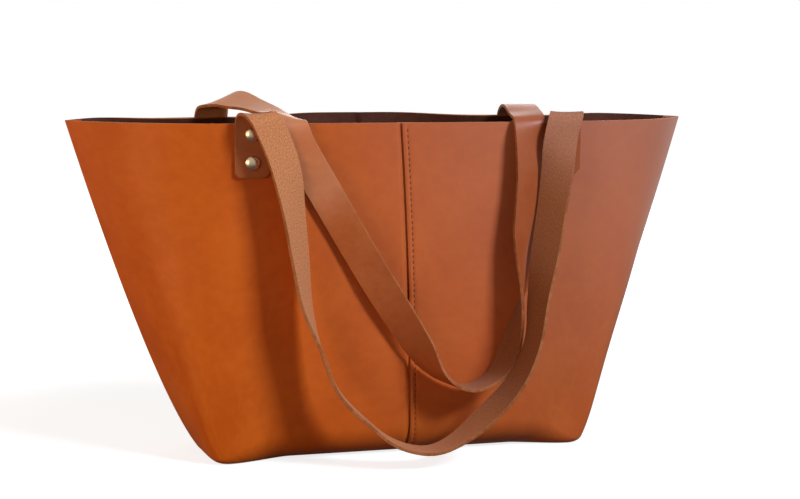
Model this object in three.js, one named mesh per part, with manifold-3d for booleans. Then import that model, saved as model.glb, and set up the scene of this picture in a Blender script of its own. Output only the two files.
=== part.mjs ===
// Unlined leather tote bag, standing open with both carrying straps thrown forward over its front.
// Millimetres, +Z up, front towards -Y, left and right as seen from the front.
import * as THREE from 'three';
import { mergeVertices } from 'three/addons/utils/BufferGeometryUtils.js';
import Module from 'manifold-3d';

const wasm = await Module();
wasm.setup();
const { lerp, smoothstep, degToRad } = THREE.MathUtils;

// Leather body
const LEATHER = 2; // hide thickness of the four body panels
const HEIGHT = 242.5; // floor to rim at the side seams
const RIM_HALF_WIDTH = 235; // middle to side seam along the rim
const BASE_HALF_WIDTH = 139; // middle to boxed corner at the floor
const BASE_HALF_DEPTH = 48; // middle to front or back fold at the floor
const RIM_SHOULDER = 200; // where a panel turns in towards its side seam, at the rim
const BASE_SHOULDER = 138; // the same turn at the floor, where it is the boxed corner
const FRONT_BOW = 59; // how far the front rim stands out from the line between the side seams
const BACK_BOW = 42; // the same for the back rim
const FRONT_RISE = -1.7; // middle of the front rim above the rim at the side seams
const BACK_RISE = 3.9; // middle of the back rim above the rim at the side seams
const BACK_DIP = 1.7; // how far the straps weigh the back rim down where they hang on it
const RIM_POWER = 4; // power that keeps those rises and dips to the top of the wall and off its sides
const SIDE_FLARE = 0.76; // power of the outward sweep of the side seam
const SHOULDER_FLARE = 0.745; // power of the outward sweep of the shoulder
const RIM_TURN = 2.25; // sharpness of the shoulder at the rim, where it is a soft bend
const BASE_TURN = 11; // sharpness at the floor, where it is a folded corner
const TURN_POWER = 3; // power by which that sharpness gathers near the floor
const FOLD_MIDDLE = 21.5; // radius of the fold from wall to base, soft between the boxed corners
const FOLD_CORNER = 4.5; // and sharp at them
const FOLD_EASE = [0.68, 0.97]; // shares of the shoulder between which it sharpens

// Seams
const GAP = 0.3; // clearance between pieces that touch
const LAP = 11; // how far a left panel runs on under its right neighbour at a middle seam
const JOGGLE = 5; // run over which the left panel steps in under that lap
const FRONT_SEAM_RIM = -5.5; // middle seam of the front at the rim
const FRONT_SEAM_BASE = 4; // and at the floor
const BACK_SEAM_RIM = -10; // middle seam of the back at the rim
const BACK_SEAM_BASE = 1; // and at the floor
const SEAM_POWER = 2; // power of the middle seams' sideways lean

// Straps
const STRAP = 2.4; // strap thickness
const STRAP_WIDTH = 24;
const TAB_SEAT = 0.7; // clearance of a flat riveted end on the curved panel
const TAB_LENGTH = 38; // riveted end below the rim
const FRONT_TAB_LEFT = -112.5; // middle of each riveted end along the rim
const FRONT_TAB_RIGHT = 117.5;
const BACK_TAB_LEFT = -131;
const BACK_TAB_RIGHT = 99;
const PULL = 40; // how far the straps draw the back rim forward where they hang on it
const PULL_REACH = 62; // half width of that pull along the rim
const PULL_EDGE = 4; // power by which the pull falls off past that half width
const PULL_POWER = 3; // power by which it fades down the wall
const PULL_FREE = [0.1, 0.7]; // shares of the bow between which a panel comes free of its side seam
const FRONT_FOLD = 6; // radius at which the front strap folds over at the rim
const FOLD_DRIFT = 0.68; // share of the sideways way to the hanging leg that is made in the fold
const FOLD_LAG = 2; // power by which that drift comes late in the fold
const FRONT_LOOP_MIDDLE = 5.5; // lowest point of the front loop, along X
const FRONT_LOOP_CLEARANCE = 11.5; // and above the floor
const FRONT_STANDOFF = 32; // front loop ahead of the front rim
const FRONT_SWAY = 2; // sideways hang of the front loop
const BACK_LOOP_MIDDLE = 44;
const BACK_LOOP_CLEARANCE = 50;
const BACK_STANDOFF = 9.5;
const BACK_SWAY = -1;
const CROSS_LEFT = -84; // where the back strap passes over the front rim
const CROSS_RIGHT = 89.5;
const ARCH_LEFT = 13.8; // rise of the back strap above the rim as it spans the mouth
const ARCH_RIGHT = 8;

// Rivets
const RIVET_CAP = 10; // cap diameter
const RIVET_DOME = 2.6; // cap height
const RIVET_SIDE = 0.3; // share of a dome's height that is its straight side
const RIVET_POST = 3; // post diameter
const RIVET_HEAD_DOME = 1.6; // height of the head inside the bag
const RIVET_SOCKET = 1.3; // depth of the socket in the cap that takes the post
const RIVET_FROM_RIM = 7.5; // upper rivet below the rim
const RIVET_PITCH = 20; // upper to lower rivet

// Mesh steps
const WALL_ROWS = 13;
const FOLD_ROWS = 4;
const BASE_ROWS = 3;
const PANEL_COLUMNS = 18;
const COLUMN_CROWDING = 1.6; // power that crowds the columns towards the middle seam
const JOGGLE_COLUMNS = [0.08, 0.35, 0.65, 1]; // shares of the step's run
const STRAP_STEP = 13; // length of a strap facet on a straight run
const FLEX_FACETS = 1.6; // least facets for each step of a strap's route
const TAB_STEPS = 3; // along a riveted end
const FOLD_STEPS = 8; // round the front strap's fold
const TURN_STEPS = 2; // along the back strap's turn at the back rim
const SPAN_STEPS = 3; // along its way across the mouth
const BEND_STEPS = 4; // and round its bend over the front rim
const LEG_STEPS = 5; // down its right leg, which flexes to pass the front strap
const RIVET_SIDES = 14;
const DOME_STEPS = 3;
const PROBE = 1; // distance over which a slope of the skin is taken
const THIN_LIMIT = 0.5; // a slanted edge is at most this share of a full turn to its sheet
const WELD = 1e-4; // points this close are one point

const FACES = {
  front: {
    sign: -1,
    bow: FRONT_BOW,
    rise: FRONT_RISE,
    seam: [FRONT_SEAM_BASE, FRONT_SEAM_RIM],
    hung: [],
  },
  back: {
    sign: 1,
    bow: BACK_BOW,
    rise: BACK_RISE,
    seam: [BACK_SEAM_BASE, BACK_SEAM_RIM],
    hung: [BACK_TAB_LEFT, BACK_TAB_RIGHT],
  },
};

function leatherMaterial(color, roughness) {
  return new THREE.MeshStandardMaterial({ color, roughness, metalness: 0 });
}
const tanLeather = leatherMaterial(0xb4602a, 0.5);
const strapLeather = leatherMaterial(0xa8683c, 0.6);
const paleBrass = new THREE.MeshStandardMaterial({ color: 0xd8c08a, roughness: 0.3, metalness: 1 });

// The level outline of half a face is one conic from the middle, round the shoulder, to the side seam.
function outline(face, height, inset = 0) {
  const share = Math.max(height, 0) / HEIGHT;
  return {
    edge: lerp(BASE_HALF_WIDTH, RIM_HALF_WIDTH, share ** SIDE_FLARE) - inset,
    shoulder: lerp(BASE_SHOULDER, RIM_SHOULDER, share ** SHOULDER_FLARE) - inset,
    bow: lerp(BASE_HALF_DEPTH, face.bow, share) - inset,
    turn: lerp(RIM_TURN, BASE_TURN, (1 - share) ** TURN_POWER),
  };
}

function alongOutline(line, t) {
  const start = (1 - t) ** 2;
  const corner = 2 * line.turn * t * (1 - t);
  const end = t * t;
  const sum = start + corner + end;
  return { x: (corner * line.shoulder + end * line.edge) / sum, y: (line.bow * (start + corner)) / sum };
}

function shareAt(line, x) {
  const a = x * (2 - 2 * line.turn) + 2 * line.turn * line.shoulder - line.edge;
  const b = x * (2 * line.turn - 2) - 2 * line.turn * line.shoulder;
  return (-b - Math.sqrt(b * b - 4 * a * x)) / (2 * a);
}

function seamAt(face, height) {
  return lerp(face.seam[0], face.seam[1], (Math.max(height, 0) / HEIGHT) ** SEAM_POWER);
}

// A point of the outline on the outer skin: the rim rises or dips towards its middle, and the straps that
// hang on the back rim draw it forward and down, except near the side seams, which hold it.
function skinPoint(face, height, x, y, edge) {
  const share = height / HEIGHT;
  const pull = face.hung.reduce((sum, tab) => sum + Math.exp(-(((x - tab) / PULL_REACH) ** PULL_EDGE)), 0);
  const drawn = pull * smoothstep(y / face.bow, ...PULL_FREE);
  const lift = face.rise * (1 - (x / edge) ** RIM_POWER) - BACK_DIP * drawn;
  const depth = y - PULL * drawn * share ** PULL_POWER;
  return new THREE.Vector3(x, face.sign * depth, height + lift * share ** RIM_POWER);
}

function skinAt(face, x, height) {
  const line = outline(face, height);
  const middle = seamAt(face, height);
  const side = x < middle ? -1 : 1;
  const distance = (x - middle) / (side - middle / line.edge);
  return skinPoint(face, height, x, alongOutline(line, shareAt(line, distance)).y, line.edge);
}

function skinFrame(face, x, height) {
  const point = skinAt(face, x, height);
  const along = skinAt(face, x + PROBE, height).sub(skinAt(face, x - PROBE, height)).normalize();
  const up = skinAt(face, x, height).sub(skinAt(face, x, height - PROBE)).normalize();
  const out = new THREE.Vector3().crossVectors(along, up).multiplyScalar(-face.sign).normalize();
  return { point, along, out };
}

// A closed sheet between two grids of points: top side first, then the under side, then the four edges.
function closedSheet(top, under) {
  const rows = top.length;
  const columns = top[0].length;
  const positions = [...top.flat(), ...under.flat()].flatMap((p) => [p.x, p.y, p.z]);
  const index = [];
  const half = rows * columns;
  const quad = (a, b, c, d) => index.push(a, b, c, a, c, d);
  for (let r = 0; r < rows - 1; r += 1) {
    for (let c = 0; c < columns - 1; c += 1) {
      const a = r * columns + c;
      quad(a, a + columns, a + columns + 1, a + 1);
      quad(half + a, half + a + 1, half + a + columns + 1, half + a + columns);
    }
  }
  const ring = [];
  for (let c = 0; c < columns - 1; c += 1) ring.push(c);
  for (let r = 0; r < rows - 1; r += 1) ring.push(r * columns + columns - 1);
  for (let c = columns - 1; c > 0; c -= 1) ring.push((rows - 1) * columns + c);
  for (let r = rows - 1; r > 0; r -= 1) ring.push(r * columns);
  ring.forEach((a, i) => {
    const b = ring[(i + 1) % ring.length];
    quad(a, b, half + b, half + a);
  });
  const sheet = new THREE.BufferGeometry();
  sheet.setAttribute('position', new THREE.Float32BufferAttribute(positions, 3));
  sheet.setIndex(index);
  return sheet;
}

function gridNormals(grid, sign) {
  return grid.map((row, r) =>
    row.map((_, c) => {
      const last = row.length - 1;
      const below = grid[Math.min(r + 1, grid.length - 1)][c];
      const above = grid[Math.max(r - 1, 0)][c];
      const down = new THREE.Vector3().subVectors(below, above);
      const across = new THREE.Vector3().subVectors(row[Math.min(c + 1, last)], row[Math.max(c - 1, 0)]);
      return down.cross(across).multiplyScalar(sign).normalize();
    }),
  );
}

// Rows of a panel: shares of the way down the wall, angles round the fold and shares of the way under the
// base to the bottom seam.
function panelRows() {
  const rows = [];
  for (let i = 0; i < WALL_ROWS; i += 1) rows.push({ down: i / WALL_ROWS, bend: 0, close: 0 });
  for (let i = 0; i < FOLD_ROWS; i += 1) {
    rows.push({ down: 1, bend: (i / FOLD_ROWS) * (Math.PI / 2), close: 0 });
  }
  for (let i = 0; i <= BASE_ROWS; i += 1) rows.push({ down: 1, bend: Math.PI / 2, close: i / BASE_ROWS });
  return rows;
}

// Columns from the middle seam to the side seam, as shares of the outline. A left panel starts past the seam,
// under the lap, and in place of its first column has the ones where it steps in to get there.
function panelColumns(line, side) {
  const columns = [];
  for (let i = 0; i <= PANEL_COLUMNS; i += 1) {
    columns.push({ t: (i / PANEL_COLUMNS) ** COLUMN_CROWDING, past: 0 });
  }
  if (side < 0) {
    const steps = JOGGLE_COLUMNS.map((run) => ({ t: shareAt(line, JOGGLE * run), past: 0 }));
    columns.splice(0, 2, { t: 0, past: LAP }, ...steps);
  }
  return columns;
}

// One quarter of the body: half a wall, its half of the side gusset and its quarter of the base.
function panelGeometry(face, side) {
  const floor = outline(face, 0);
  const radii = panelColumns(floor, side).map(({ t }) => {
    const sharp = smoothstep(alongOutline(floor, t).x / BASE_SHOULDER, ...FOLD_EASE);
    return lerp(FOLD_MIDDLE, FOLD_CORNER, sharp);
  });
  const heightAt = (row, radius) => lerp(HEIGHT, radius, row.down) - radius * Math.sin(row.bend);
  const rows = panelRows();
  const skin = rows.map((row) => {
    const first = outline(face, heightAt(row, radii[0]), radii[0] * (1 - Math.cos(row.bend)));
    return panelColumns(first, side).map(({ t, past }, c) => {
      const height = heightAt(row, radii[c]);
      const inset = radii[c] * (1 - Math.cos(row.bend));
      const line = outline(face, height, inset);
      const spot = alongOutline(line, t);
      const away = spot.x - past;
      const x = side * away + seamAt(face, height) * (1 - away / line.edge);
      const point = skinPoint(face, height, x, spot.y * (1 - row.close), line.edge + inset);
      point.y += (face.sign * GAP) / 2;
      return point;
    });
  });
  const normals = gridNormals(skin, -side * face.sign);
  const step = LEATHER + GAP;
  const top = skin.map((row, r) =>
    row.map((point, c) => {
      const past = point.x - seamAt(face, heightAt(rows[r], radii[c]));
      const lapped = side < 0 ? smoothstep(past, -JOGGLE, 0) : 0;
      return point.clone().addScaledVector(normals[r][c], -step * lapped);
    }),
  );
  const under = top.map((row, r) =>
    row.map((point, c) => {
      const inward = normals[r][c].clone();
      if (c === row.length - 1) inward.y = 0; // the two side edges meet in the plane of the side seam
      const depth = LEATHER / Math.max(inward.length(), THIN_LIMIT);
      return point.clone().addScaledVector(inward.normalize(), -depth);
    }),
  );
  return side * face.sign > 0 ? closedSheet(under, top) : closedSheet(top, under);
}

// Strap routes run from one riveted end to the other. Each stop has a middle point and the direction
// that the strap's width takes there.
function stop(point, across) {
  return { point, across };
}

function tabStops(face, x) {
  const stops = [];
  for (let i = 0; i <= TAB_STEPS; i += 1) {
    const frame = skinFrame(face, x, HEIGHT - TAB_LENGTH * (1 - i / TAB_STEPS));
    stops.push(stop(frame.point.addScaledVector(frame.out, TAB_SEAT + STRAP / 2), frame.along));
  }
  return stops;
}

const QUARTER_TURN = 90; // degrees

function flatDirection(degrees) {
  return new THREE.Vector3(Math.cos(degToRad(degrees)), Math.sin(degToRad(degrees)), 0);
}

// A hanging leg: stops as shares of its drop, of its way to the loop's middle, of its standoff and of its
// quarter turn.
function legStops(leg) {
  const drop = HEIGHT - leg.clearance;
  return leg.shape.map(([down, inward, out, turned]) => {
    const x = lerp(leg.from, leg.middle, inward) + leg.sway * out;
    const rim = skinAt(FACES.front, leg.from, HEIGHT).y;
    const across = flatDirection(leg.start + leg.turn * QUARTER_TURN * turned);
    return stop(new THREE.Vector3(x, rim - leg.standoff * out, HEIGHT - drop * down), across);
  });
}

function loopBottom(leg) {
  const y = skinAt(FACES.front, leg.from, HEIGHT).y - leg.standoff;
  return stop(new THREE.Vector3(leg.middle + leg.sway, y, leg.clearance), flatDirection(-QUARTER_TURN));
}

const FRONT_LEFT_LEG = [
  [0.06, 0.114, 0.45, 0.22],
  [0.15, 0.169, 0.5, 0.27],
  [0.27, 0.209, 0.5, 0.45],
  [0.42, 0.248, 0.5, 0.57],
  [0.55, 0.279, 0.55, 0.7],
  [0.69, 0.36, 0.65, 0.9],
  [0.81, 0.445, 0.8, 0.9],
  [0.905, 0.616, 0.92, 0.94],
  [0.97, 0.772, 1, 0.93],
];

const FRONT_RIGHT_LEG = [
  [0.06, 0.085, 0.45, 0.15],
  [0.15, 0.107, 0.5, 0.43],
  [0.27, 0.148, 0.55, 0.58],
  [0.42, 0.214, 0.7, 0.58],
  [0.55, 0.276, 0.88, 0.78],
  [0.69, 0.328, 1, 0.91],
  [0.81, 0.452, 1, 0.81],
  [0.905, 0.649, 1, 0.6],
  [0.97, 0.827, 1, 0.82],
];

function frontLeg(from, start, turn, shape) {
  return {
    from,
    start,
    turn,
    shape,
    middle: FRONT_LOOP_MIDDLE,
    clearance: FRONT_LOOP_CLEARANCE,
    standoff: FRONT_STANDOFF,
    sway: FRONT_SWAY,
  };
}

// From the riveted end the front strap rises past the rim and folds forward over itself.
function foldStops(tab, leg) {
  const end = tab[tab.length - 1];
  const stops = [];
  for (let i = 1; i < FOLD_STEPS; i += 1) {
    const share = i / FOLD_STEPS;
    const angle = share * Math.PI;
    const point = new THREE.Vector3(
      lerp(end.point.x, leg[0].point.x, FOLD_DRIFT * share ** FOLD_LAG),
      end.point.y - FRONT_FOLD * (1 - Math.cos(angle)),
      end.point.z + GAP + FRONT_FOLD * Math.sin(angle),
    );
    const across = end.across.clone().lerp(leg[0].across, share);
    stops.push(stop(point, across));
  }
  return stops;
}

function reversed(stops) {
  return [...stops].reverse();
}

function frontRoute() {
  const left = frontLeg(FRONT_TAB_LEFT, 180, 1, FRONT_LEFT_LEG);
  const right = frontLeg(FRONT_TAB_RIGHT, 360, -1, FRONT_RIGHT_LEG);
  const leftTab = tabStops(FACES.front, FRONT_TAB_LEFT);
  leftTab.forEach((s) => s.across.negate());
  const rightTab = tabStops(FACES.front, FRONT_TAB_RIGHT);
  const leftLeg = legStops(left);
  const rightLeg = legStops(right);
  return [
    ...leftTab,
    ...foldStops(leftTab, leftLeg),
    ...leftLeg,
    loopBottom(left),
    ...reversed(rightLeg),
    ...reversed(foldStops(rightTab, rightLeg)),
    ...reversed(rightTab),
  ];
}

// The back strap arches from the back rim across the mouth and bends down over the front rim. Stops as
// shares of the way across, of the way sideways and of the arch, with the degrees by which the strap's right
// edge stands higher.
const LEFT_SPAN = [
  [0.02, 0.006, 0.2, 10],
  [0.09, 0.035, 0.64, 23],
  [0.3, 0.195, 1, 19],
  [0.55, 0.515, 0.75, -3],
  [0.77, 0.825, 0.35, -6],
  [0.93, 0.965, 0.3, -10],
];

const RIGHT_SPAN = [
  [0.03, 0.03, 0.3, 0],
  [0.16, 0.16, 0.75, 0],
  [0.34, 0.34, 1.03, 0],
  [0.56, 0.56, 0.95, 2],
  [0.77, 0.77, 0.62, 4],
  [0.93, 0.93, 0.47, 2],
];

function spanStops(shape, tab, cross, arch) {
  const from = tab[tab.length - 1].point;
  const to = skinAt(FACES.front, cross, HEIGHT);
  return shape.map(([share, sideways, rise, bank]) => {
    const point = new THREE.Vector3().lerpVectors(from, to, share);
    point.x = lerp(from.x, to.x, sideways);
    point.z += arch * rise;
    return stop(point, new THREE.Vector3(Math.cos(degToRad(bank)), 0, Math.sin(degToRad(bank))));
  });
}

const BACK_LEFT_LEG = [
  [0.005, -0.015, 0.45, 0.04],
  [0.07, 0.015, 0.65, 0.07],
  [0.25, 0.168, 0.85, 0.37],
  [0.47, 0.36, 0.95, 0.45],
  [0.66, 0.53, 1, 0.44],
  [0.84, 0.69, 1, 0.62],
  [0.93, 0.777, 1, 0.9],
  [0.98, 0.889, 1, 0.96],
];

const BACK_RIGHT_LEG = [
  [0.005, 0.022, 0.45, 0.075],
  [0.07, 0.022, 0.6, 0.18],
  [0.22, 0.04, 0.75, 0.315],
  [0.42, 0.12, 0.9, 0.39],
  [0.63, 0.067, 0.96, 0.59],
  [0.76, 0.15, 1, 0.79],
  [0.88, 0.322, 1, 0.86],
  [0.96, 0.571, 1, 0.95],
];

function backLeg(from, start, turn, shape) {
  return {
    from,
    start,
    turn,
    shape,
    middle: BACK_LOOP_MIDDLE,
    clearance: BACK_LOOP_CLEARANCE,
    standoff: BACK_STANDOFF,
    sway: BACK_SWAY,
  };
}

function backRoute() {
  const left = backLeg(CROSS_LEFT, 0, -1, BACK_LEFT_LEG);
  const right = backLeg(CROSS_RIGHT, -180, 1, BACK_RIGHT_LEG);
  const leftTab = tabStops(FACES.back, BACK_TAB_LEFT);
  const rightTab = tabStops(FACES.back, BACK_TAB_RIGHT);
  const rightSpan = spanStops(RIGHT_SPAN, rightTab, CROSS_RIGHT, ARCH_RIGHT);
  for (const s of [...rightTab, ...rightSpan]) s.across.negate();
  return [
    ...leftTab,
    ...spanStops(LEFT_SPAN, leftTab, CROSS_LEFT, ARCH_LEFT),
    ...legStops(left),
    loopBottom(left),
    ...reversed(legStops(right)),
    ...reversed(rightSpan),
    ...reversed(rightTab),
  ];
}

// A strap piece is the ribbon between two stops of its route, short of each by half a clearance.
function strapPiece(route, first, last) {
  const curve = new THREE.CatmullRomCurve3(
    route.map((s) => s.point),
    false,
    'centripetal',
  );
  const spans = route.length - 1;
  const steps = Math.max(2, Math.round(route[first].point.distanceTo(route[last].point) / STRAP_STEP));
  const count = Math.max(steps, Math.ceil((last - first) * FLEX_FACETS));
  const trim = (at, from, to) => {
    const reach = curve.getPoint(from / spans).distanceTo(curve.getPoint(to / spans));
    return at === 0 || at === spans ? 0 : GAP / 2 / reach;
  };
  const begin = first + trim(first, first, first + 1);
  const finish = last - trim(last, last - 1, last);
  const top = [];
  const under = [];
  for (let i = 0; i <= count; i += 1) {
    const place = lerp(begin, finish, i / count);
    const before = Math.min(Math.floor(place), spans - 1);
    const middle = curve.getPoint(place / spans);
    const along = curve.getTangent(place / spans);
    const across = route[before].across.clone().lerp(route[before + 1].across, place - before);
    across.addScaledVector(along, -across.dot(along)).normalize();
    const out = new THREE.Vector3().crossVectors(along, across).multiplyScalar(STRAP / 2);
    const row = (side) => [
      middle.clone().addScaledVector(across, -STRAP_WIDTH / 2).addScaledVector(out, side),
      middle.clone().addScaledVector(across, STRAP_WIDTH / 2).addScaledVector(out, side),
    ];
    top.push(row(1));
    under.push(row(-1));
  }
  return closedSheet(top, under);
}

// Rivets: a domed cap outside pressed on to the post of a flatter head inside the bag.
function dome(radius, height) {
  const points = [];
  for (let i = 0; i <= DOME_STEPS; i += 1) {
    const angle = (i / DOME_STEPS) * (Math.PI / 2);
    points.push(new THREE.Vector2(radius * Math.cos(angle), height * lerp(RIVET_SIDE, 1, Math.sin(angle))));
  }
  return points;
}

const SOCKET_RADIUS = RIVET_POST / 2 + GAP;
const CAP_SEAT = TAB_SEAT + STRAP + GAP; // outer skin of the panel to the foot of the cap
const HEAD_SEAT = -LEATHER - GAP; // outer skin of the panel to the foot of the inner head
const PUNCH_LENGTH = 2 * (CAP_SEAT - HEAD_SEAT); // well through the riveted stack of leather

function rivetCapGeometry() {
  const profile = [
    new THREE.Vector2(0, RIVET_SOCKET),
    new THREE.Vector2(SOCKET_RADIUS, RIVET_SOCKET),
    new THREE.Vector2(SOCKET_RADIUS, 0),
    new THREE.Vector2(RIVET_CAP / 2, 0),
    ...dome(RIVET_CAP / 2, RIVET_DOME),
  ];
  profile[profile.length - 1].x = 0;
  return new THREE.LatheGeometry(profile, RIVET_SIDES);
}

function rivetPostGeometry() {
  const head = dome(RIVET_CAP / 2, RIVET_HEAD_DOME).reverse();
  head[0].x = 0;
  const tip = CAP_SEAT + RIVET_SOCKET - GAP - HEAD_SEAT;
  const profile = [
    ...head.map((p) => new THREE.Vector2(p.x, -p.y)),
    new THREE.Vector2(RIVET_CAP / 2, 0),
    new THREE.Vector2(RIVET_POST / 2, 0),
    new THREE.Vector2(RIVET_POST / 2, tip),
    new THREE.Vector2(0, tip),
  ];
  return new THREE.LatheGeometry(profile, RIVET_SIDES);
}

function rivetFrames(face, x) {
  return [RIVET_FROM_RIM, RIVET_FROM_RIM + RIVET_PITCH].map((down) => skinFrame(face, x, HEIGHT - down));
}

function solid(geometry) {
  const plain = geometry.clone();
  plain.deleteAttribute('normal');
  plain.deleteAttribute('uv');
  const merged = mergeVertices(plain, WELD);
  const mesh = { numProp: 3, vertProperties: merged.attributes.position.array };
  return new wasm.Manifold(new wasm.Mesh({ ...mesh, triVerts: new Uint32Array(merged.index.array) }));
}

function punched(geometry, frames) {
  let body = solid(geometry);
  for (const frame of frames) {
    const punch = new THREE.CylinderGeometry(SOCKET_RADIUS, SOCKET_RADIUS, PUNCH_LENGTH, RIVET_SIDES);
    punch.applyQuaternion(new THREE.Quaternion().setFromUnitVectors(new THREE.Vector3(0, 1, 0), frame.out));
    punch.translate(frame.point.x, frame.point.y, frame.point.z);
    body = body.subtract(solid(punch));
  }
  const mesh = body.getMesh();
  const result = new THREE.BufferGeometry();
  result.setAttribute('position', new THREE.BufferAttribute(mesh.vertProperties, 3));
  result.setIndex(new THREE.BufferAttribute(mesh.triVerts, 1));
  return result;
}

const bag = new THREE.Group();

function addPiece(name, geometry, material) {
  const piece = new THREE.Mesh(geometry, material);
  piece.name = name;
  bag.add(piece);
  return piece;
}

const TABS = [
  { name: 'front_left', face: FACES.front, side: -1, x: FRONT_TAB_LEFT },
  { name: 'front_right', face: FACES.front, side: 1, x: FRONT_TAB_RIGHT },
  { name: 'back_left', face: FACES.back, side: -1, x: BACK_TAB_LEFT },
  { name: 'back_right', face: FACES.back, side: 1, x: BACK_TAB_RIGHT },
];

for (const tab of TABS) {
  const frames = rivetFrames(tab.face, tab.x);
  addPiece(`${tab.name}_panel`, punched(panelGeometry(tab.face, tab.side), frames), tanLeather);
  ['upper', 'lower'].forEach((level, i) => {
    const { point, out } = frames[i];
    const cap = addPiece(`${tab.name}_${level}_rivet_cap`, rivetCapGeometry(), paleBrass);
    const post = addPiece(`${tab.name}_${level}_rivet_post`, rivetPostGeometry(), paleBrass);
    for (const piece of [cap, post]) piece.quaternion.setFromUnitVectors(new THREE.Vector3(0, 1, 0), out);
    cap.position.copy(point).addScaledVector(out, CAP_SEAT);
    post.position.copy(point).addScaledVector(out, HEAD_SEAT);
  });
}

// Each strap is one strip of leather, parted here at the places where it flexes.
function addStrap(route, pieces) {
  let first = 0;
  for (const { name, stops, rivets } of pieces) {
    const geometry = strapPiece(route, first, first + stops);
    addPiece(name, rivets ? punched(geometry, rivets) : geometry, strapLeather);
    first += stops;
  }
}

const tabRivets = Object.fromEntries(TABS.map((tab) => [tab.name, rivetFrames(tab.face, tab.x)]));
const frontLoopStops = FRONT_LEFT_LEG.length + FRONT_RIGHT_LEG.length;
const backStops = backRoute().length - 1;
const backEndStops = TAB_STEPS + TURN_STEPS + SPAN_STEPS + BEND_STEPS;
const backLoopStops = backStops - 2 * backEndStops - LEG_STEPS;

addStrap(frontRoute(), [
  { name: 'front_strap_left_tab', stops: TAB_STEPS, rivets: tabRivets.front_left },
  { name: 'front_strap_left_fold', stops: FOLD_STEPS },
  { name: 'front_strap_loop', stops: frontLoopStops },
  { name: 'front_strap_right_fold', stops: FOLD_STEPS },
  { name: 'front_strap_right_tab', stops: TAB_STEPS, rivets: tabRivets.front_right },
]);

addStrap(backRoute(), [
  { name: 'back_strap_left_tab', stops: TAB_STEPS, rivets: tabRivets.back_left },
  { name: 'back_strap_left_turn', stops: TURN_STEPS },
  { name: 'back_strap_left_span', stops: SPAN_STEPS },
  { name: 'back_strap_left_bend', stops: BEND_STEPS },
  { name: 'back_strap_loop', stops: backLoopStops },
  { name: 'back_strap_right_leg', stops: LEG_STEPS },
  { name: 'back_strap_right_bend', stops: BEND_STEPS },
  { name: 'back_strap_right_span', stops: SPAN_STEPS },
  { name: 'back_strap_right_turn', stops: TURN_STEPS },
  { name: 'back_strap_right_tab', stops: TAB_STEPS, rivets: tabRivets.back_right },
]);

// The origin lies on the floor under the middle of the whole bag with its straps.
bag.updateMatrixWorld(true);
const extent = new THREE.Box3().setFromObject(bag, true);
const middle = extent.getCenter(new THREE.Vector3());
bag.position.set(-middle.x, -middle.y, -extent.min.z);

export default bag;
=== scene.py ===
import math

import bpy
import numpy as np
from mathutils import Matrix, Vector


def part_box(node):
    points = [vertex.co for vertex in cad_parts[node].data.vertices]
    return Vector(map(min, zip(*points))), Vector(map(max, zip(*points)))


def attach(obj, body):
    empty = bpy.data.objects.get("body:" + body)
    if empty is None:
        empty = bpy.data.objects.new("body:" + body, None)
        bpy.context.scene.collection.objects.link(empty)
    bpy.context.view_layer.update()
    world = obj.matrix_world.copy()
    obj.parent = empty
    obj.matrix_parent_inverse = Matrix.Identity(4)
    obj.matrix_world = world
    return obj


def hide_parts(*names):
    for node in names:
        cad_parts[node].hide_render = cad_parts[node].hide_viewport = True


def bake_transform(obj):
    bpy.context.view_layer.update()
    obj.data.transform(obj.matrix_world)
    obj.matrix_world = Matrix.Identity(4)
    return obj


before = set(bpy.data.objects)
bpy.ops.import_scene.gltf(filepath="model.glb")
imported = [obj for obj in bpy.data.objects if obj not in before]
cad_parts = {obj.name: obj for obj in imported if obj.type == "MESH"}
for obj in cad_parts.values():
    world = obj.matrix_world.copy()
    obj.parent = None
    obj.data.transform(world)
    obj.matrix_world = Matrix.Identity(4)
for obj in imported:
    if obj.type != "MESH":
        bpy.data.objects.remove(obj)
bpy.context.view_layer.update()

# Body panels
# Four pieces of smooth vegetable tanned hide about 2 mm thick, each half a wall, half a side and a quarter
# of the base. They are sewn together with the grain outside, the flesh is left raw inside, and the rim is a
# plain cut edge. The straps that hang over the front draw the back rim forward. Sizes are in millimetres.
HIDE = 2.0
HEIGHT = 242.5  # floor to rim at the side seams
RIM_HALF_WIDTH = 235.0
BASE_HALF_WIDTH = 139.0
BASE_HALF_DEPTH = 48.0
RIM_SHOULDER = 200.0  # where a panel turns in towards its side seam, at the rim
BASE_SHOULDER = 138.0  # the same turn at the floor, where it is the boxed corner
SIDE_FLARE = 0.76  # power of the outward sweep of the side seam
SHOULDER_FLARE = 0.745  # and of the shoulder
RIM_TURN = 2.25  # sharpness of the shoulder at the rim, where it is a soft bend
BASE_TURN = 11.0  # and at the floor, where it is a folded corner
TURN_POWER = 3  # power by which that sharpness gathers near the floor
RIM_POWER = 4  # power that keeps the rim's rise and dip to the top of the wall and off its sides
SEAM_POWER = 2  # power of the middle seams' sideways lean
SEAM_GAP = 0.3  # clearance between pieces that touch
PULL = 40.0  # how far the straps draw the back rim forward where they hang on it
PULL_REACH = 62.0  # half width of that pull along the rim
PULL_EDGE = 4  # power by which the pull falls off past that half width
PULL_POWER = 3  # power by which it fades down the wall
PULL_FREE = (0.1, 0.7)  # shares of the bow between which a panel comes free of its side seam
PROBE = 1.0  # distance over which a slope of the skin is taken
# Of each wall: the way it faces along Y, how far its rim bows out, rises in the middle and dips under the
# straps, where its middle seam is at the floor and at the rim, where the straps' tabs are along the rim, and
# how far they draw it forward.
FRONT = {"name": "front", "sign": -1, "bow": 59.0, "rise": -1.7, "dip": 0.0, "seam": (4.0, -5.5),
         "tabs": (-112.5, 117.5), "pull": 0.0}
BACK = {"name": "back", "sign": 1, "bow": 42.0, "rise": 3.9, "dip": 1.7, "seam": (1.0, -10.0),
        "tabs": (-131.0, 99.0), "pull": PULL}

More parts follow.
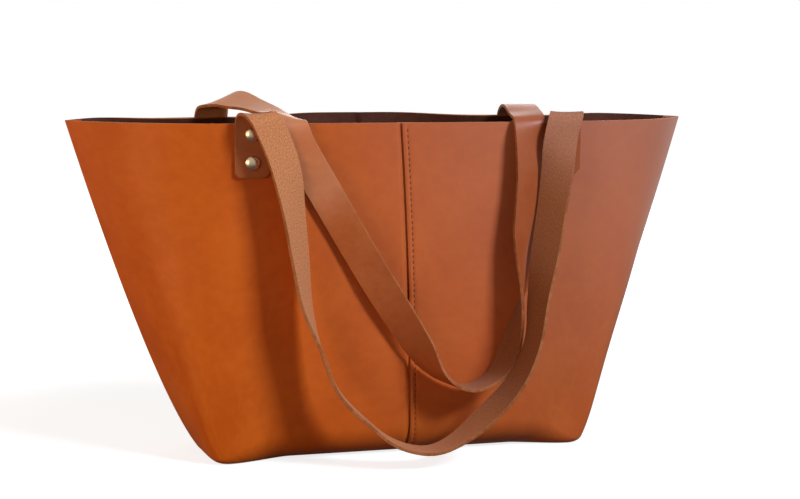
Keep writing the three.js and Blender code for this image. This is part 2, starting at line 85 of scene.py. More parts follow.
# The frame's origin is under the middle of the bag with its straps, and the panels' sizes are measured from
# the plane of the side seams.
seam_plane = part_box("front_right_panel")[1].y * 1000 + SEAM_GAP / 2


def smooth(value, low, high):
    """0 up to the low limit, 1 from the high one, and an even rise between them."""
    share = np.clip((np.asarray(value, float) - low) / (high - low), 0, 1)
    return share * share * (3 - 2 * share)


def lerp(a, b, share):
    return a + (b - a) * share


def in_frame(points):
    """Points in millimetres from the plane of the side seams, as metres in the frame."""
    return (np.asarray(points, float) + np.array([0, seam_plane, 0])) / 1000


def outline(face, height, inset=0.0):
    """Half of a face's outline at a height, drawn in by an inset."""
    share = np.maximum(height, 0.0) / HEIGHT
    return {
        "edge": lerp(BASE_HALF_WIDTH, RIM_HALF_WIDTH, share ** SIDE_FLARE) - inset,
        "shoulder": lerp(BASE_SHOULDER, RIM_SHOULDER, share ** SHOULDER_FLARE) - inset,
        "bow": lerp(BASE_HALF_DEPTH, face["bow"], share) - inset,
        "turn": lerp(RIM_TURN, BASE_TURN, (1 - share) ** TURN_POWER),
    }


def along_outline(line, t):
    """Distances from the middle and from the plane of the side seams, from the middle, 0, to the seam, 1."""
    start, corner, end = (1 - t) ** 2, 2 * line["turn"] * t * (1 - t), t * t
    total = start + corner + end
    return (corner * line["shoulder"] + end * line["edge"]) / total, line["bow"] * (start + corner) / total


def share_at(line, x):
    """The share of an outline at which it is a distance x from the middle."""
    a = x * (2 - 2 * line["turn"]) + 2 * line["turn"] * line["shoulder"] - line["edge"]
    b = x * (2 * line["turn"] - 2) - 2 * line["turn"] * line["shoulder"]
    return (-b - np.sqrt(b * b - 4 * a * x)) / (2 * a)


def seam_at(face, height):
    """Where a wall's middle seam is at a height."""
    return lerp(face["seam"][0], face["seam"][1], (np.maximum(height, 0.0) / HEIGHT) ** SEAM_POWER)


def skin_points(face, height, x, y, edge):
    """Points of the skin: the outline with the rim's rise and dip and the pull of the straps."""
    share = height / HEIGHT
    hung = sum(np.exp(-(((x - tab) / PULL_REACH) ** PULL_EDGE)) for tab in face["tabs"])
    drawn = hung * smooth(y / face["bow"], *PULL_FREE)
    lift = (face["rise"] * (1 - (x / edge) ** RIM_POWER) - face["dip"] * drawn) * share ** RIM_POWER
    depth = y - face["pull"] * drawn * share ** PULL_POWER
    return np.stack([x, face["sign"] * depth, height + lift], axis=-1)


def skin_at(face, x, height):
    """The point of a wall's skin at a place along the rim and a height."""
    line = outline(face, height)
    middle = seam_at(face, height)
    side = np.where(x < middle, -1.0, 1.0)
    distance = (x - middle) / (side - middle / line["edge"])
    return skin_points(face, height, x, along_outline(line, share_at(line, distance))[1], line["edge"])


def skin_frame(face, x, height):
    """That point with the skin's direction along the rim and its outward one."""
    x = np.asarray(float(x))
    along = skin_at(face, x + PROBE, height) - skin_at(face, x - PROBE, height)
    along = along / np.linalg.norm(along)
    up = skin_at(face, x, height) - skin_at(face, x, height - PROBE)
    out = np.cross(along, up) * -face["sign"]
    return skin_at(face, x, height), along, out / np.linalg.norm(out)


# A row of a panel runs from the middle seam to the side seam, where the skin rolls in and goes on as the
# seam allowance. Its columns lie close at the lap, at set distances from its edge, and spread out after it.
# A left panel is numbered -1 and a right one 1.
LAP = 11.0  # how far a left panel runs on under its right neighbour
JOGGLE = 5.0  # run over which it steps in under that lap
STITCH_LINE = 3.6  # stitches from the lap's edge
NEAR_SEAM = {
    -1: np.array([-LAP, -8, -5, -2.5, -1, 0, 0.5, 1.1, 1.7, 2.3, 2.9, 3.5, 4.1, 4.7, 5.4, 6.5, 8.5]),
    1: np.array([0, 0.4, 1.0, 1.7, 2.4, 3.0, STITCH_LINE, 4.2, 4.8, 5.6, 6.8, 8.5]),
}
FIELD_COLUMNS = 56
COLUMN_CROWDING = 1.35  # power that crowds them towards the middle seam
SEAM_ROLL = 3.0  # distance from the side seam at which the skin begins to roll in
ROLL_PROUD = 0.4  # share of that by which the roll stands out past the seam
ROLL_STEPS = np.array([0.15, 0.3, 0.45, 0.6, 0.8, 1.0])
ROLL_SEARCH = np.linspace(0.4, 1, 400)  # shares of an outline among which the roll's beginning is found
SEAM_ALLOWANCE = 9.0
ALLOWANCE_FOOT = (8, 24)  # heights between which the allowance widens from nothing
ALLOWANCE_STEPS = np.array([0.35, 0.7, 1.0])
WALL_ROWS = 83
FOLD_ROWS = 11
BASE_ROWS = 12
FOLD_MIDDLE = 21.5  # radius of the fold from wall to base between the boxed corners
FOLD_CORNER = 4.5  # and at them
FOLD_EASE = (0.68, 0.97)  # shares of the shoulder between which it sharpens


def column_shares(middle_line, corner_line, side):
    """Shares of the outline at which a row's columns stand, as far as the roll."""
    near = share_at(middle_line, np.maximum(NEAR_SEAM[side], 0))
    x, y = along_outline(corner_line, ROLL_SEARCH)
    roll = np.interp(-SEAM_ROLL, -np.hypot(corner_line["edge"] - x, y), ROLL_SEARCH)
    spread = np.linspace(0, 1, FIELD_COLUMNS + 1)[1:] ** COLUMN_CROWDING
    return np.concatenate([near, near[-1] + (roll - near[-1]) * spread])


def fold_radii(face, side):
    """The fold from wall to base is soft between the boxed corners and sharp at them."""
    line = outline(face, 0.0)
    x, _ = along_outline(line, column_shares(line, line, side))
    return lerp(FOLD_MIDDLE, FOLD_CORNER, smooth(x / BASE_SHOULDER, *FOLD_EASE))


def panel_row(face, side, height, inset, allowance):
    """Distances of a row's points from the middle seam and from the plane of the side seams."""
    middle_line = outline(face, height[0], inset[0])
    corner_line = outline(face, height[-1], inset[-1])
    x, y = along_outline(outline(face, height, inset), column_shares(middle_line, corner_line, side))
    lapped = np.minimum(NEAR_SEAM[side], 0)
    x[:len(lapped)] += lapped
    edge, share = corner_line["edge"], ROLL_STEPS
    outer = edge + ROLL_PROUD * SEAM_ROLL
    roll_x = (1 - share) ** 2 * x[-1] + 2 * share * (1 - share) * outer + share ** 2 * (edge - SEAM_ROLL)
    roll_y = (1 - share) ** 2 * y[-1]
    tail_x = roll_x[-1] - allowance * ALLOWANCE_STEPS
    return np.concatenate([x, roll_x, tail_x]), np.concatenate([y, roll_y, 0 * tail_x])


def panel_rows():
    """Each row's share of the way down the wall, bend of the fold and share of the way in under the base."""
    wall = [(down, 0.0, 0.0) for down in np.linspace(0, 1, WALL_ROWS + 1)[:-1]]
    fold = [(1.0, bend, 0.0) for bend in np.linspace(0, math.pi / 2, FOLD_ROWS + 1)[:-1]]
    base = [(1.0, math.pi / 2, close) for close in np.linspace(0, 1, BASE_ROWS + 1)]
    return wall + fold + base


# What sewing and standing do to the hide.
SWELL = 0.55  # rise of a wall's slow swells
SWELL_ALONG, SWELL_UP = 37, 41  # their runs along the wall and up it
SWELL_START = (1.1, 0.7)
RIPPLES = [(0.3, 19, 27, 0), (0.22, 13, -17, 2)]  # rise, runs along and up, and start of the quicker ones
GIVE_OFF_SIDE = (0.05, 0.5)  # shares of the bow between which the wall comes free to swell
GIVE_OFF_SEAM = (4, 30)  # the same by distance from the middle seam
GIVE_OFF_FLOOR = (4, 40)  # and by height
RIVET_HOLD = 24  # reach along the rim of the flat place that the rivets hold
RIVET_HOLD_FROM = (150, 190)  # heights between which it begins
STITCH_GROOVE = (0.45, 1.1)  # depth and reach of the groove that the stitches pull
LAP_LIP = (0.25, 2.2)  # rise and reach of the lap's edge, which that turns up
LAP_ROUND = (0.7, 0.9)  # depth and reach of what is rounded off that edge
SKIVED = 1.2  # thickness of the hide where it is pared for the side seam
SKIVED_COLUMNS = 8  # columns over which it is pared


def hide_give(x, height):
    """Small unevenness of a hide that stands by its own stiffness."""
    slow = SWELL * np.sin(height / SWELL_UP + SWELL_START[1]) * np.sin(x / SWELL_ALONG + SWELL_START[0])
    quick = sum(rise * np.sin(x / along + height / up + start) for rise, along, up, start in RIPPLES)
    return slow + quick


def ridge(distance, rise, reach):
    return rise * np.exp(-((distance / reach) ** 2))


def grid_normals(grid, sign):
    down = np.gradient(grid, axis=0)
    across = np.gradient(grid, axis=1)
    normal = np.cross(down, across) * sign
    return normal / np.maximum(np.linalg.norm(normal, axis=2, keepdims=True), 1e-9)


def panel_grids(face, side):
    """The grain side and the flesh side of a panel, as rows and columns of points."""
    grain, slack, thickness = [], [], []
    radii = fold_radii(face, side)
    hidden = len(ROLL_STEPS) + len(ALLOWANCE_STEPS)
    for down, bend, close in panel_rows():
        height = lerp(HEIGHT, radii, down) - radii * math.sin(bend)
        inset = radii * (1 - math.cos(bend))
        allowance = SEAM_ALLOWANCE * float(smooth(height[-1], *ALLOWANCE_FOOT))
        away, y = panel_row(face, side, height, inset, allowance)
        height = np.concatenate([height, np.full(hidden, height[-1])])
        inset = np.concatenate([inset, np.full(hidden, inset[-1])])
        edge = outline(face, height, inset)["edge"]
        seam = seam_at(face, height)
        x = side * away + seam * (1 - away / edge)
        points = skin_points(face, height, x, y * (1 - close), edge + inset)
        points[:, 1] += face["sign"] * SEAM_GAP / 2
        grain.append(points)
        distance = side * (x - seam)
        free = smooth(y / face["bow"], *GIVE_OFF_SIDE) * smooth(distance, *GIVE_OFF_SEAM)
        free = free * (1 - close) * smooth(height, *GIVE_OFF_FLOOR)
        riveted = sum(ridge(x - tab, 1, RIVET_HOLD) for tab in face["tabs"])
        riveted = riveted * smooth(height, *RIVET_HOLD_FROM)
        dress = free * (1 - riveted) * hide_give(x, height)
        to_roll = np.arange(len(away)) - (len(away) - hidden - SKIVED_COLUMNS)
        pared = lerp(HIDE, SKIVED, smooth(to_roll, 0, SKIVED_COLUMNS - 1))
        if side < 0:
            dress = dress - (HIDE + SEAM_GAP) * smooth(-distance, -JOGGLE, 0)
        else:
            rounded = ridge(distance, *LAP_ROUND)
            dress = dress - ridge(distance - STITCH_LINE, *STITCH_GROOVE)
            dress = dress + ridge(distance, *LAP_LIP) - rounded
            pared = pared - rounded
        slack.append(dress)
        thickness.append(pared)
    grain = np.array(grain)
    normals = grid_normals(grain, -side * face["sign"])
    grain = grain + normals * np.array(slack)[..., None]
    flesh = grain - normals * np.array(thickness)[..., None]
    grain[..., 2] = np.maximum(grain[..., 2], 0)
    flesh[..., 2] = np.maximum(flesh[..., 2], 0)
    return grain, flesh


def new_piece(name, points, faces):
    """A smooth shaded object in the scene, from points in millimetres."""
    mesh = bpy.data.meshes.new(name)
    mesh.from_pydata(in_frame(points), [], faces)
    mesh.polygons.foreach_set("use_smooth", np.ones(len(faces), bool))
    piece = bpy.data.objects.new(name, mesh)
    bpy.context.collection.objects.link(piece)
    return piece


CUT_EDGE = 0.4  # rounding of a cut edge of leather
CUT_EDGE_ANGLE = 55  # degrees from which a corner of a sheet is a cut edge
FIRST_ROW, LAST_ROW = 0, 2  # two of a sheet's four borders, counted round from its first row


def sheet_object(name, grain, flesh, materials, flip=False, open_rows=(), lead=0.0):
    """A sheet of leather between its grain side and its flesh side, with cut edges all round except along its
    open rows, where it goes on as another sheet. Lead is the length of what comes before it."""
    rows, columns = grain.shape[:2]
    half = rows * columns
    index = np.arange(half).reshape(rows, columns)
    quads = np.stack([index[:-1, :-1], index[1:, :-1], index[1:, 1:], index[:-1, 1:]], axis=-1).reshape(-1, 4)
    ring = np.concatenate([index[0, :-1], index[:-1, -1], index[-1, :0:-1], index[:0:-1, 0]])
    after = np.roll(ring, -1)
    border = np.repeat(np.arange(4), [columns - 1, rows - 1] * 2)
    edges = np.stack([ring, after, after + half, ring + half], axis=-1)[~np.isin(border, open_rows)]
    faces = np.concatenate([quads, (quads + half)[:, ::-1], edges])
    if flip:
        faces = faces[:, ::-1]
    points = np.concatenate([grain.reshape(-1, 3), flesh.reshape(-1, 3)])
    piece = new_piece(name, points, faces.tolist())
    mesh = piece.data
    for material in materials:
        mesh.materials.append(material)
    sides = np.repeat([0, 1, 2], [len(quads), len(quads), len(edges)])
    mesh.polygons.foreach_set("material_index", sides.astype(np.int32))
    lengthwise = np.cumsum(np.r_[lead, np.linalg.norm(np.diff(grain[:, columns // 2], axis=0), axis=1)])
    crosswise = np.cumsum(np.r_[0, np.linalg.norm(np.diff(grain[rows // 3], axis=0), axis=1)])
    flat = np.stack(np.meshgrid(crosswise, lengthwise), axis=-1).reshape(-1, 2) / 1000
    flat = np.concatenate([flat, flat])
    corner_vertex = np.empty(len(mesh.loops), np.int32)
    mesh.loops.foreach_get("vertex_index", corner_vertex)
    cut = mesh.uv_layers.new(name="cut_piece")
    cut.data.foreach_set("uv", flat[corner_vertex].astype(np.float32).ravel())
    mesh.validate()
    edge = piece.modifiers.new("cut_edge", "BEVEL")
    edge.width = CUT_EDGE / 1000
    edge.segments = 2
    edge.limit_method = "ANGLE"
    edge.angle_limit = math.radians(CUT_EDGE_ANGLE)
    edge.harden_normals = True
    return piece


def linear(hex_colour):
    """An sRGB hex colour as linear values."""
    parts = [int(hex_colour[i:i + 2], 16) / 255 for i in (1, 3, 5)]
    return [c / 12.92 if c <= 0.04045 else ((c + 0.055) / 1.055) ** 2.4 for c in parts] + [1.0]


def add_node(tree, kind, inputs, **settings):
    """A new node with its settings made and its inputs set or linked."""
    made = tree.nodes.new(kind)
    for name, value in settings.items():
        setattr(made, name, value)
    for name, value in inputs.items():
        if isinstance(value, bpy.types.NodeSocket):
            tree.links.new(value, made.inputs[name])
        else:
            made.inputs[name].default_value = value
    return made


COLOUR_A, COLOUR_B, COLOUR_OUT = 6, 7, 2  # a Mix node's places for colours
FLECK_SHARE = 0.5  # weight of the flecks beside the clouds
# Painted sheen: a paler, rosier tone towards the bag's right and its rim, standing in for the window's
# reflection.
PAINTED_SHEEN_TONE = "#AC7A6A"
PAINTED_SHEEN_ACROSS = (-0.16, 0.2)  # metres along the bag between which the painted sheen comes up
PAINTED_SHEEN_UP = (0.02, 0.24)  # and metres of height
PAINTED_SHEEN_LOW = 0.25  # share of it near the floor
NAP_SHEEN = "#C8D4EC"


def leather_side(name, dark, light, cloud, fleck, fibre, depth, rough, spread, specular,
                 sheen=0.0, painted_tones_along=(), painted_sheen=0.0):
    """One side of a hide. Cloud, fleck and fibre are sizes in mm of its colour clouds, of the finer flecks in
    them and of its pores or nap, depth is the nap's height in mm, and spread is how far the roughness varies.
    Painted tones along is a list of places along the piece in mm, each with a tone and the share it has
    there, which paint light and shade along a strap, and painted sheen is the share of a paler, rosier
    painted sheen on the bag's right and towards its rim that stands in for the window's reflection."""
    material = bpy.data.materials.new(name)
    material.use_nodes = True
    tree = material.node_tree
    shader = tree.nodes["Principled BSDF"]
    place = add_node(tree, "ShaderNodeTexCoord", {}).outputs["UV"]
    clouds = add_node(tree, "ShaderNodeTexNoise", {"Vector": place, "Scale": 1000 / cloud, "Detail": 3.0,
                                                   "Roughness": 0.55})
    flecks = add_node(tree, "ShaderNodeTexNoise", {"Vector": place, "Scale": 1000 / fleck, "Detail": 2.0,
                                                   "Roughness": 0.6})
    both = add_node(tree, "ShaderNodeMath", {0: flecks.outputs["Fac"], 1: FLECK_SHARE,
                                             2: clouds.outputs["Fac"]}, operation="MULTIPLY_ADD")
    share = add_node(tree, "ShaderNodeMapRange", {"Value": both.outputs[0], "From Min": 0.5, "From Max": 1.0},
                     interpolation_type="SMOOTHSTEP")
    tone = add_node(tree, "ShaderNodeMix", {0: share.outputs[0], COLOUR_A: linear(dark),
                                            COLOUR_B: linear(light)}, data_type="RGBA")
    # Painted light and shade along a strap: tones mixed in by place along its length.
    if painted_tones_along:
        reach = painted_tones_along[-1][0] / 1000
        length = add_node(tree, "ShaderNodeSeparateXYZ", {0: place})
        along = add_node(tree, "ShaderNodeMath", {0: length.outputs["Y"], 1: reach}, operation="DIVIDE")
        band = add_node(tree, "ShaderNodeValToRGB", {0: along.outputs[0]})
        stops = band.color_ramp.elements
        stops.remove(stops[1])
        for at, painted_tone, amount in painted_tones_along:
            stop = stops.new(at / 1000 / reach) if at else stops[0]
            stop.color = linear(painted_tone)[:3] + [amount]
        tone = add_node(tree, "ShaderNodeMix", {0: band.outputs["Alpha"], COLOUR_A: tone.outputs[COLOUR_OUT],
                                                COLOUR_B: band.outputs["Color"]}, data_type="RGBA")
    # Painted sheen: the paler, rosier tone mixed in towards the bag's right and higher up, in place of the
    # window's reflection.
    if painted_sheen:
        spot = add_node(tree, "ShaderNodeTexCoord", {}).outputs["Object"]
        spot = add_node(tree, "ShaderNodeSeparateXYZ", {0: spot})
        right = add_node(tree, "ShaderNodeMapRange", {"Value": spot.outputs["X"], "From Min": PAINTED_SHEEN_ACROSS[0],
                                                      "From Max": PAINTED_SHEEN_ACROSS[1], "To Max": painted_sheen},
                         interpolation_type="SMOOTHSTEP")
        high = add_node(tree, "ShaderNodeMapRange", {"Value": spot.outputs["Z"], "From Min": PAINTED_SHEEN_UP[0],
                                                     "From Max": PAINTED_SHEEN_UP[1], "To Min": PAINTED_SHEEN_LOW})
        sheen_share = add_node(tree, "ShaderNodeMath", {0: right.outputs[0], 1: high.outputs[0]},
                         operation="MULTIPLY")
        tone = add_node(tree, "ShaderNodeMix", {0: sheen_share.outputs[0], COLOUR_A: tone.outputs[COLOUR_OUT],
                                                COLOUR_B: linear(PAINTED_SHEEN_TONE)}, data_type="RGBA")
    nap = add_node(tree, "ShaderNodeTexNoise", {"Vector": place, "Scale": 1000 / fibre, "Detail": 3.0,
                                                "Roughness": 0.65})
    bump = add_node(tree, "ShaderNodeBump", {"Height": nap.outputs["Fac"], "Strength": 1.0,
                                             "Distance": depth / 1000})
    gloss = add_node(tree, "ShaderNodeMapRange", {"Value": both.outputs[0], "From Min": 0.4, "From Max": 1.1,
                                                  "To Min": rough - spread, "To Max": rough + spread})
    tree.links.new(tone.outputs[COLOUR_OUT], shader.inputs["Base Color"])
    tree.links.new(bump.outputs[0], shader.inputs["Normal"])
    tree.links.new(gloss.outputs[0], shader.inputs["Roughness"])
    shader.inputs["IOR"].default_value = 1.5
    shader.inputs["Specular IOR Level"].default_value = specular
    shader.inputs["Sheen Weight"].default_value = sheen
    shader.inputs["Sheen Roughness"].default_value = 0.3
    shader.inputs["Sheen Tint"].default_value = linear(NAP_SHEEN)
    return material


# Smooth vegetable tanned full grain, rubbed with wax: an even satin with soft clouds of tone, and a paler,
# rosier painted sheen on the bag's right and towards its rim that stands in for the window's reflection.
# Real pores are too fine to show, so they are drawn several times as coarse.
panel_grain = leather_side("vegetable_tanned_grain_waxed_with_painted_sheen", dark="#BA520A", light="#C65E12", cloud=60, fleck=8,
                           fibre=1.3, depth=0.04, rough=0.45, spread=0.05, specular=0.25, painted_sheen=0.6)
# Raw flesh inside the bag: dull, with a short nap drawn coarser than real fibres, and its tones darkened as
# painted shade for the inside of the bag.
panel_flesh = leather_side("hide_flesh_raw_dark", dark="#4A261A", light="#5C3426", cloud=30, fleck=4,
                           fibre=0.9, depth=0.12, rough=0.85, spread=0.05, specular=0.2, sheen=0.1)
# The cut edge of the hide: pale fibres between two darker skins, drawn coarser than real ones.
panel_edge = leather_side("hide_edge_cut", dark="#8E4E26", light="#A96A3E", cloud=12, fleck=3,
                          fibre=0.7, depth=0.1, rough=0.7, spread=0.05, specular=0.2)

stitch_column = int(np.searchsorted(NEAR_SEAM[1], STITCH_LINE))
stitch_lines = {}
for face in (FRONT, BACK):
    for side, hand in ((-1, "left"), (1, "right")):
        grain, flesh = panel_grids(face, side)
        if side > 0:
            stitch_lines[face["name"]] = grain[:, stitch_column], (grain - flesh)[:, stitch_column]
        cut = f"{face['name']}_{hand}_panel"
        panel = sheet_object(f"tote_{cut}", grain, flesh, [panel_grain, panel_flesh, panel_edge],
                             flip=side * face["sign"] > 0)
        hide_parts(cut)
        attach(panel, "bag")

# Thread of the two middle seams
# Waxed linen thread in a plain lock stitch along the lap of each middle seam, pulled a little into the grain.
# The thread of the side seams, the bottom seam and the boxed corners is hidden in turned seams.
STITCH_PITCH = 4.1
STITCH_LENGTH = 3.1
STITCH_ARCH = 0.34  # rise of a stitch's middle over its ends
STITCH_SUNK = 0.22  # depth of its ends below the grain
FIRST_STITCH = 4.0  # below the rim
LAST_STITCH = 4.0  # above the floor
THREAD = 0.75
THREAD_TAPER = 0.45  # share of its thickness that is left where it goes into a hole
THREAD_RINGS = 7
THREAD_SIDES = 8
TWIST = 0.5  # one turn of a ply
TWIST_DEPTH = 0.1


def tube_faces(rings, sides, base=0):
    """Faces of a closed tube of rings of points, the first of which is numbered base."""
    faces = []
    for ring in range(rings - 1):
        for i in range(sides):
            a, b = base + ring * sides + i, base + ring * sides + (i + 1) % sides
            faces.append([a, b, b + sides, a + sides])
    last = base + (rings - 1) * sides
    return faces + [list(range(base, base + sides))[::-1], list(range(last, last + sides))]


def stitch_rings(start, end, out):
    """A stitch is a short arc of thread that dips into its holes at both ends."""
    along = (end - start) / np.linalg.norm(end - start)
    across = np.cross(out, along)
    turn = np.linspace(0, 2 * math.pi, THREAD_SIDES + 1)[:-1]
    rings = []
    for share in np.linspace(0, 1, THREAD_RINGS):
        rise = STITCH_ARCH * math.sin(math.pi * share) - STITCH_SUNK
        girth = THREAD / 2 * (THREAD_TAPER + (1 - THREAD_TAPER) * math.sin(math.pi * share) ** 0.5)
        middle = start + (end - start) * share + out * rise
        rings.append(middle + girth * (np.outer(np.cos(turn), across) + np.outer(np.sin(turn), out)))
    return np.array(rings)


def stitching(name, line, outward):
    """Stitches set by their length along the seam, from just under the rim until the wall turns under."""
    points, faces = [], []
    length = np.cumsum(np.r_[0, np.linalg.norm(np.diff(line, axis=0), axis=1)])
    last = np.interp(-LAST_STITCH, -line[:, 2], length)
    for begin in np.arange(FIRST_STITCH, last - STITCH_LENGTH, STITCH_PITCH):
        start, end = [np.array([np.interp(at, length, line[:, i]) for i in range(3)])
                      for at in (begin, begin + STITCH_LENGTH)]
        out = np.array([np.interp(begin + STITCH_LENGTH / 2, length, outward[:, i]) for i in range(3)])
        rings = stitch_rings(start, end, out / np.linalg.norm(out))
        faces += tube_faces(THREAD_RINGS, THREAD_SIDES, base=sum(len(p) for p in points))
        points.append(rings.reshape(-1, 3))
    return new_piece(name, np.concatenate(points), faces)


# Waxed linen, twisted from three plies and dyed to the hide: a dull dark brown cord with a fine slant.
waxed_linen = bpy.data.materials.new("linen_thread_waxed")
waxed_linen.use_nodes = True
tree = waxed_linen.node_tree
shader = tree.nodes["Principled BSDF"]
place = add_node(tree, "ShaderNodeTexCoord", {}).outputs["Object"]
slant = add_node(tree, "ShaderNodeTexWave", {"Vector": place, "Scale": 1000 / TWIST, "Distortion": 1.0},
                 bands_direction="DIAGONAL")
ply = add_node(tree, "ShaderNodeBump", {"Height": slant.outputs["Fac"], "Distance": TWIST_DEPTH / 1000})
# The darker brown lies where the slanting bands dip, the same bands that raise the plies: painted shade in
# the twist's grooves.
shade = add_node(tree, "ShaderNodeMix", {0: slant.outputs["Fac"], COLOUR_A: linear("#5E2C14"),
                                         COLOUR_B: linear("#7B4020")}, data_type="RGBA")
tree.links.new(shade.outputs[COLOUR_OUT], shader.inputs["Base Color"])
tree.links.new(ply.outputs[0], shader.inputs["Normal"])
shader.inputs["Roughness"].default_value = 0.65

for face_name, (line, outward) in stitch_lines.items():
    thread = stitching(f"{face_name}_middle_seam_thread", line, outward)
    thread.data.materials.append(waxed_linen)
    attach(thread, "bag")

# Straps
# Two strips cut 24 mm wide from a hide of 2.4 mm, raw at the edges and unlined, each riveted by its ends to
# the outside of its own face. The front strap folds forward over itself and hangs with its flesh outwards;
# the back strap comes over the mouth and hangs inside the front one with its grain outwards.
STRAP = 2.4
STRAP_WIDTH = 24.0
TAB_SEAT = 0.7  # clearance of a flat riveted end on the curved panel
TAB_LENGTH = 38.0  # riveted end below the rim
TAB_CORNER = 3.5
TAB_STEPS = 3
FRONT_FOLD = 6.0  # radius at which the front strap folds over at the rim
FOLD_STEPS = 8
FOLD_DRIFT = 0.68  # share of the sideways way to the hanging leg that is made in the fold
FOLD_LAG = 2.0  # power by which that drift comes late in the fold
# Of each loop: its lowest point along the bag and above the floor, how far it hangs ahead of the front rim,
# and how far that carries it sideways.
FRONT_LOOP = {"middle": 5.5, "clearance": 11.5, "standoff": 32.0, "sway": 2.0}
BACK_LOOP = {"middle": 44.0, "clearance": 50.0, "standoff": 9.5, "sway": -1.0}
CROSS_LEFT = -84.0  # where the back strap passes over the front rim
CROSS_RIGHT = 89.5
ARCH_LEFT = 13.8  # rise of the back strap above the rim as it spans the mouth
ARCH_RIGHT = 8.0
QUARTER_TURN = 90  # degrees

# Each leg's stops: share of its drop, of its way in to the loop's middle, of its standoff and of its
# quarter turn.
FRONT_LEFT_LEG = [(0.06, 0.114, 0.45, 0.22), (0.15, 0.169, 0.5, 0.27), (0.27, 0.209, 0.5, 0.45),
                  (0.42, 0.248, 0.5, 0.57), (0.55, 0.279, 0.55, 0.7), (0.69, 0.36, 0.65, 0.9),
                  (0.81, 0.445, 0.8, 0.9), (0.905, 0.616, 0.92, 0.94), (0.97, 0.772, 1, 0.93)]
FRONT_RIGHT_LEG = [(0.06, 0.085, 0.45, 0.15), (0.15, 0.107, 0.5, 0.43), (0.27, 0.148, 0.55, 0.58),
                   (0.42, 0.214, 0.7, 0.64), (0.55, 0.276, 0.88, 0.82), (0.69, 0.328, 1, 0.92),
                   (0.81, 0.452, 1, 0.85), (0.905, 0.649, 1, 0.74), (0.97, 0.827, 1, 0.9)]
BACK_LEFT_LEG = [(0.005, -0.02, 0.5, 0.04), (0.07, 0.012, 0.55, 0.08), (0.25, 0.168, 0.58, 0.2),
                 (0.47, 0.36, 0.55, 0.25), (0.66, 0.535, 0.55, 0.27), (0.84, 0.71, 0.65, 0.46),
                 (0.93, 0.8, 0.78, 0.75), (0.98, 0.9, 0.92, 0.92)]
BACK_RIGHT_LEG = [(0.005, 0.022, 0.45, 0.075), (0.07, 0.022, 0.6, 0.18), (0.22, 0.015, 0.75, 0.24),
                  (0.42, 0.085, 0.85, 0.3), (0.63, 0.1, 0.85, 0.68), (0.76, 0.215, 0.8, 1.02),
                  (0.88, 0.355, 0.75, 1.2), (0.96, 0.571, 0.75, 1.12)]
# Each span's stops: share of the way across the mouth, of the way sideways and of the arch's rise, and
# degrees by which the right edge stands higher.
LEFT_SPAN = [(0.02, 0.006, 0.2, 10), (0.09, 0.035, 0.64, 23), (0.3, 0.195, 1, 19), (0.55, 0.515, 0.75, -3),
             (0.77, 0.825, 0.36, -10), (0.93, 0.955, 0.3, -17)]
RIGHT_SPAN = [(0.03, 0.03, 0.3, 0), (0.16, 0.16, 0.75, 0), (0.34, 0.34, 1.03, 0), (0.56, 0.56, 0.95, 2),
              (0.77, 0.77, 0.62, 4), (0.93, 0.93, 0.47, 2)]


def flat_direction(degrees):
    return np.array([math.cos(math.radians(degrees)), math.sin(math.radians(degrees)), 0])


def tab_stops(face, x, sign):
    """A strap's stops are its middle and the direction of its width. These go up a riveted end."""
    stops = []
    for i in range(TAB_STEPS + 1):
        spot, along, out = skin_frame(face, x, HEIGHT - TAB_LENGTH * (1 - i / TAB_STEPS))
        stops.append((spot + out * (TAB_SEAT + STRAP / 2), along * sign))
    return stops


def leg_stops(shape, loop, start_x, start, turn):
    """Stops down a hanging leg, which turns from its start in degrees."""
    rim = skin_at(FRONT, np.asarray(start_x), HEIGHT)[1]
    drop = HEIGHT - loop["clearance"]
    stops = []
    for down, inward, out, turned in shape:
        x = lerp(start_x, loop["middle"], inward) + loop["sway"] * out
        place = np.array([x, rim - loop["standoff"] * out, HEIGHT - drop * down])
        stops.append((place, flat_direction(start + turn * QUARTER_TURN * turned)))
    return stops


def loop_bottom(loop, start_x):
    """The one stop at the bottom of a loop, where the strap's width points forward."""
    rim = skin_at(FRONT, np.asarray(start_x), HEIGHT)[1]
    lowest = np.array([loop["middle"] + loop["sway"], rim - loop["standoff"], loop["clearance"]])
    return [(lowest, flat_direction(-QUARTER_TURN))]


def fold_stops(tab, leg):
    """Stops round the front strap's fold, from the top of its tab towards its leg."""
    top, across = tab[-1]
    stops = []
    for share in np.arange(1, FOLD_STEPS) / FOLD_STEPS:
        angle = share * math.pi
        x = lerp(top[0], leg[0][0][0], FOLD_DRIFT * share ** FOLD_LAG)
        y = top[1] - FRONT_FOLD * (1 - math.cos(angle))
        z = top[2] + SEAM_GAP + FRONT_FOLD * math.sin(angle)
        stops.append((np.array([x, y, z]), lerp(across, leg[0][1], share)))
    return stops


def span_stops(shape, tab, cross, arch, sign):
    """Stops of the back strap across the mouth, from the top of its tab to the front rim."""
    start, end = tab[-1][0], skin_at(FRONT, np.asarray(cross), HEIGHT)
    stops = []
    for share, sideways, rise, bank in shape:
        across = np.array([math.cos(math.radians(bank)), 0, math.sin(math.radians(bank))])
        point = lerp(start, end, np.array([sideways, share, share])) + np.array([0, 0, arch * rise])
        stops.append((point, across * sign))
    return stops


STRAP_STEP = 3.0  # length of a strap's rows
STRAP_COLUMNS = np.array([-1, -0.9, -0.5, 0, 0.5, 0.9, 1])
EASE_PASSES = 6  # rounds in which each row is drawn to the middle of its neighbours
# A point between two stops is mixed from the four nearest ones in three rounds, between these of their knots.
CURVE_ROUNDS = [[(0, 1), (1, 2), (2, 3)], [(0, 2), (1, 3)], [(1, 2)]]


